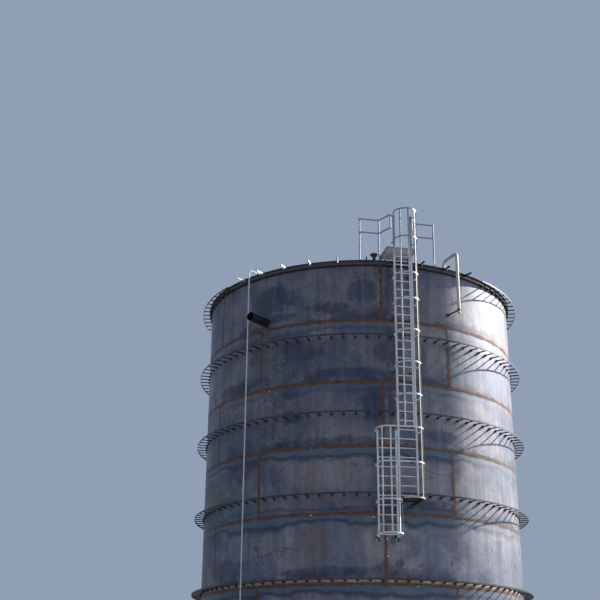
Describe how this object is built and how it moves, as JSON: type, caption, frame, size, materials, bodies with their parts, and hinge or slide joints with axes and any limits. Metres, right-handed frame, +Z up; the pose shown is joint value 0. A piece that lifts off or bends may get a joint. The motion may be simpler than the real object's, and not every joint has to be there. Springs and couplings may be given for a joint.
{
  "type": "vertical storage tank",
  "caption": "Tall round steel tank with a low cone roof, rings on pegs for insulation, two caged ladders, a roof landing with guard rails, a bent overflow pipe and a pipe stub.",
  "frame": {"origin": "centre of the bottom plate's underside, where the tank rests", "axes": "+Z up along the tank's axis; -Y towards the side with the ladders, +X to the right of it"},
  "size_m": [11.24, 12.0156, 15.521],
  "materials": {
    "shell_steel": "bare hot-rolled plate with mill scale, water streaks and rust at the welds",
    "rusty_steel": "bare rolled steel with brown rust",
    "dark_steel": "bare dark flat bar, dull",
    "galvanised": "light grey galvanised steel, slightly dull",
    "black_steel": "black coated pipe, dull"
  },
  "bodies": {
    "root": {"bottom_plate": "shell_steel", "roof_plate": "dark_steel", "edge_angle": "rusty_steel", "shell_course_1": "shell_steel", "shell_course_2": "shell_steel", "shell_course_3": "shell_steel", "shell_course_4": "shell_steel", "shell_course_5": "shell_steel", "shell_course_6": "shell_steel", "shell_course_7": "shell_steel", "edge_bar_right": "dark_steel", "edge_bar_back": "dark_steel", "edge_bar_left": "dark_steel", "insulation_ring_1": "dark_steel", "insulation_ring_2": "dark_steel", "insulation_ring_3": "dark_steel", "insulation_ring_4": "dark_steel", "insulation_ring_5": "dark_steel", "ladder_upper": "galvanised", "ladder_lower": "galvanised", "cage_upper_1": "galvanised", "cage_upper_2": "galvanised", "cage_upper_3": "galvanised", "cage_shared": "galvanised", "cage_lower": "galvanised", "landing_platform": "galvanised", "guard_rail_left": "galvanised", "guard_rail_right": "galvanised", "overflow_pipe": "galvanised", "thin_pipe": "galvanised", "rest_platform": "rusty_steel", "overflow_arm": "dark_steel", "pipe_stub": "black_steel", "roof_vent": "black_steel"}
  },
  "joints": []
}
